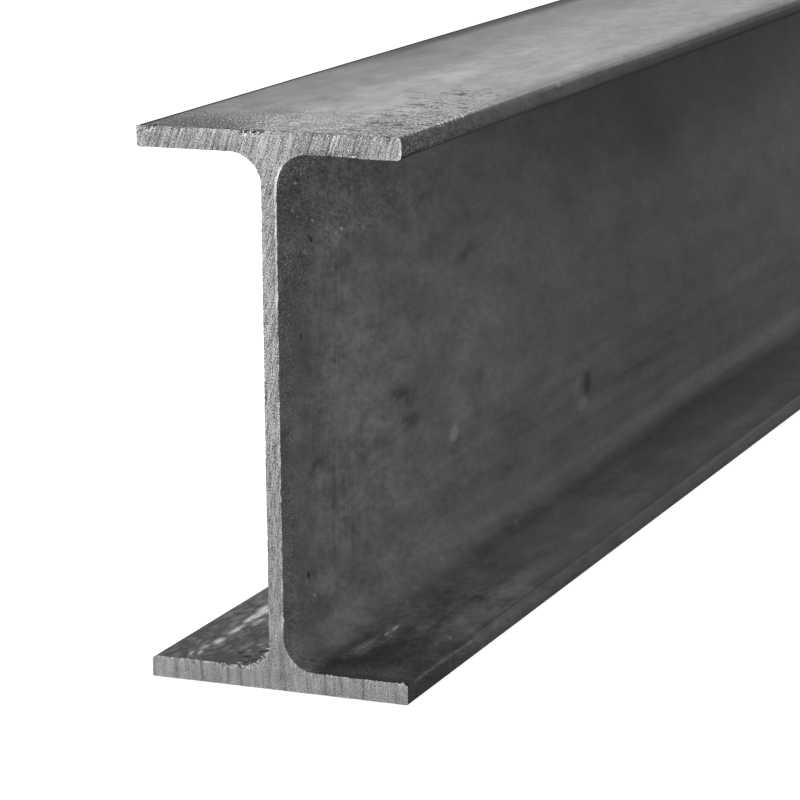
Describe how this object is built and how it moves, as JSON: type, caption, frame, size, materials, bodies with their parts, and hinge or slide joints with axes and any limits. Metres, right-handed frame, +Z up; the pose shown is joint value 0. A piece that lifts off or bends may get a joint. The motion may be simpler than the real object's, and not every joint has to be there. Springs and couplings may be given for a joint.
{
  "type": "steel i-beam",
  "caption": "Hot-rolled parallel-flange steel I-beam in bare mill finish, with filleted web roots, eased flange toes and square saw-cut ends.",
  "frame": {"origin": "underside of the lower flange, on the web's mid-plane, half way along the length (bottom centre of the bounding box)", "axes": "+Y along the beam's length, +Z up from the lower flange to the upper flange, +X across the flanges"},
  "size_m": [0.1, 2, 0.2],
  "materials": {
    "mill_steel": "bare hot-rolled steel: dark grey mill scale on the rolled faces, brighter saw-cut end faces"
  },
  "bodies": {
    "root": {"i_beam": "mill_steel"}
  },
  "joints": []
}
